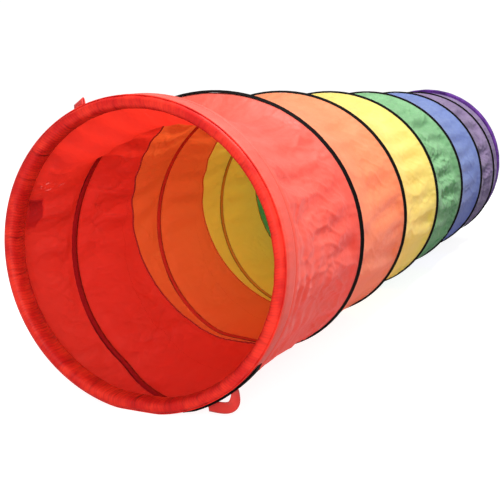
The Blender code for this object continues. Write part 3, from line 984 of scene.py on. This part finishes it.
# ---------------- tie loops
def make_anchor_tape():
    """Black tape under the front hoop, which carries the lower loop."""
    first, last = math.radians(-54.0), math.radians(-18.0)
    front, width = 0.012, 0.015
    angle = np.linspace(first, last, 48)[:, None]
    along = np.broadcast_to(np.linspace(front, front + width, 7), (48, 7))
    angle = np.broadcast_to(angle, along.shape)
    taper = np.minimum(smooth((angle - first) / 0.05), smooth((last - angle) / 0.10))
    rise = 0.0026 * (0.25 + 0.75 * taper)
    bottom = place(along, angle, HEM_RADIUS + 0.0013)
    top = place(along, angle, HEM_RADIUS + 0.0016 + rise)
    values = {"aside": along - front - width / 2}
    obj = make_shell("loop_anchor_binding", top, bottom, False, [binding_tape()], values,
                     (width, HEM_RADIUS * (last - first)))
    fold_with(obj, "front_end", "loop_anchor_tape")


def bezier(first, second, third, fourth, count):
    """Points along a cubic curve."""
    share = np.linspace(0.0, 1.0, count)[:, None]
    other = 1.0 - share
    return (other ** 3 * first + 3 * other ** 2 * share * second
            + 3 * other * share ** 2 * third + share ** 3 * fourth)


def make_ribbon(name, centres, across, material):
    """A flat ribbon along centres, whose half width is the vector `across` at each of them."""
    thickness = 0.0010
    normal = unit(np.cross(np.gradient(centres, axis=0), across))
    side = np.linspace(-1.0, 1.0, 7)[None, :, None]
    middle = centres[:, None] + across[:, None] * side
    lift = normal[:, None] * thickness / 2
    length = float(np.linalg.norm(np.diff(centres, axis=0), axis=1).sum())
    width = 2 * float(np.linalg.norm(across[0]))
    return make_shell(name, middle + lift, middle - lift, False, [material], {}, (width, length))


def make_lower_loop():
    """A ribbon sewn down at both ends, twisted on itself, hanging open below the hoop."""
    along = 0.0240 - HEM_LENGTH / 2
    low_end = np.array((along, -0.1085, 0.0200))
    sag = np.array((along, -0.1340, 0.0215))
    fall = np.array((along - 0.004, -0.1570, 0.0165))
    high_end = np.array((along, -0.1512, 0.0500))
    centres = bezier(low_end, sag, fall, high_end, 48)
    facing = (np.array((0.20, 0.0, -0.95)), np.array((-0.25, -0.10, -0.95)),
              np.array((0.10, -0.95, -0.50)), np.array((1.0, -0.15, 0.0)))
    across = bezier(*facing, 48)
    forward = unit(np.gradient(centres, axis=0))
    across = unit(across - forward * np.einsum("ij,ij->i", across, forward)[:, None])
    obj = make_ribbon("lower_tie_ribbon", centres, RIBBON_HALF_WIDTH * across, ribbon_material)
    fold_with(obj, "lower_loop", "lower_tie_loop")


def make_folded_loop(node, piece, body, degrees, reach, lean_degrees):
    """A ribbon folded in half behind the front hoop, leaning off the panel."""
    opening = 0.0056
    angle = math.radians(degrees)
    lean = math.radians(lean_degrees)
    out = outwards(np.float64(angle))
    sideways = np.array((0.0, math.cos(angle), math.sin(angle)))
    back = np.array((math.cos(lean), 0.0, 0.0)) + out * math.sin(lean)
    apart = out * math.cos(lean) - np.array((math.sin(lean), 0.0, 0.0))
    root = place(HEM_LENGTH + 0.004, angle, 0.2420)
    turn = np.linspace(0.0, math.pi, 36)[:, None]
    swell = 1.0 + 0.35 * np.sin(turn) ** 2
    centres = root + back * reach * np.sin(turn) - apart * opening / 2 * np.cos(turn) * swell
    twist = 0.22 * np.sin(turn)
    across = (sideways + back * twist) * RIBBON_HALF_WIDTH
    obj = make_ribbon(piece, centres, across, ribbon_material)
    fold_with(obj, body, node)


# ---------------- the studio
def look_along(yaw, pitch, roll):
    """A camera's turn from its heading, in radians; +X is heading zero."""
    forward = Vector((math.cos(pitch) * math.cos(yaw), math.cos(pitch) * math.sin(yaw),
                      math.sin(pitch)))
    right = forward.cross(Vector((0.0, 0.0, 1.0))).normalized()
    up = right.cross(forward)
    side = right * math.cos(roll) + up * math.sin(roll)
    top = up * math.cos(roll) - right * math.sin(roll)
    return Matrix((side, top, -forward)).transposed().to_4x4()


def make_camera():
    """Low, in front of the mouth and to one side of it."""
    data = bpy.data.cameras.new("camera")
    data.lens = 64.87
    camera = bpy.data.objects.new("camera", data)
    bpy.context.scene.collection.objects.link(camera)
    heading = look_along(yaw=0.4089, pitch=-0.1759, roll=0.0089)
    camera.matrix_world = Matrix.Translation((-1.1237, -0.66167, 0.47507)) @ heading
    bpy.context.scene.camera = camera


def make_floor():
    """White to the camera and grey as a reflector."""
    size = 30.0
    corners = size * np.array(((-1.0, -1.0, 0.0), (1.0, -1.0, 0.0), (1.0, 1.0, 0.0), (-1.0, 1.0, 0.0)))
    nodes = Nodes("studio_floor")
    seen = nodes.add("ShaderNodeLightPath", {}, "Is Camera Ray")
    glow = nodes.math("ADD", nodes.times(seen, 0.64), 0.24)
    nodes.set(Base_Color=(0.38, 0.38, 0.38, 1.0), Roughness=0.9, Specular_IOR_Level=0.05,
              Emission_Color=(1.0, 1.0, 1.0, 1.0), Emission_Strength=glow)
    floor = new_piece("studio_floor", corners, [(0, 1, 2, 3)], [nodes.material])


def make_area_light(name, location, target, size, energy):
    """A square lamp that faces its target."""
    data = bpy.data.lights.new(name, "AREA")
    data.shape = "SQUARE"
    data.size = size
    data.energy = energy
    light = bpy.data.objects.new(name, data)
    bpy.context.scene.collection.objects.link(light)
    light.location = location
    light.rotation_euler = (Vector(target) - Vector(location)).to_track_quat("-Z", "Y").to_euler()


def make_world():
    """White seen by the camera, softer white as light."""
    world = bpy.data.worlds.new("studio")
    world.use_nodes = True
    tree = world.node_tree
    path = tree.nodes.new("ShaderNodeLightPath")
    strength = tree.nodes.new("ShaderNodeMapRange")
    strength.inputs["To Min"].default_value = 0.46
    strength.inputs["To Max"].default_value = 1.05
    tree.links.new(path.outputs["Is Camera Ray"], strength.inputs["Value"])
    tree.links.new(strength.outputs[0], tree.nodes["Background"].inputs[1])
    tree.nodes["Background"].inputs[0].default_value = (1.0, 1.0, 1.0, 1.0)
    bpy.context.scene.world = world


def make_studio():
    """White surroundings, a key lamp overhead, a fill from the front, the floor and the camera."""
    make_world()
    bpy.context.scene.view_settings.view_transform = "Standard"
    middle = (0.7, 0.0, 0.25)
    mouth = (0.2, 0.0, 0.2)
    make_area_light("key", (0.9, -1.1, 3.0), middle, size=0.5, energy=134.0)
    make_area_light("front_fill", (-2.2, -1.0, 0.9), mouth, size=1.2, energy=48.0)
    make_floor()
    make_camera()


# ---------------- build
drape = simulate_drape()
foam_material = grained("hoop_foam", 900.0, srgb(214, 206, 186), srgb(240, 236, 222), 0.9, 0.0004, 0.6)
ribbon_material = webbing("red_ribbon", srgb(238, 60, 46), srgb(206, 26, 24))

for panel_number in range(len(PANELS)):
    make_panel(panel_number)
make_roll_cover()
for seam_number in range(1, len(PANELS)):
    make_seam(seam_number)
make_coil_wire()
make_binding()
make_hoop(front_hoop, gathered_cloth("red_gathered_cloth", *HEM_COLOURS["front"]))
make_hoop(rear_hoop, gathered_cloth("purple_gathered_cloth", *HEM_COLOURS["rear"]))
make_anchor_tape()
make_lower_loop()
make_folded_loop("left_tie_loop", "left_tie_ribbon", "left_loop", 100.0, 0.052, 16.0)
make_folded_loop("upper_tie_loop", "upper_tie_ribbon", "upper_loop", 152.0, 0.012, 62.0)

steel_material = spring_steel()
vinyl_material = grained("black_vinyl_cap", 500.0, srgb(14, 14, 15), srgb(30, 30, 32), 0.45, 0.0001, 0.3)
for end_name in ("front", "rear"):
    frame["nodes"][end_name + "_ring_wire"].material_slots[0].material = steel_material
    frame["nodes"][end_name + "_ring_ferrule"].material_slots[0].material = steel_material
    frame["nodes"]["coil_" + end_name + "_tip"].material_slots[0].material = vinyl_material

make_studio()
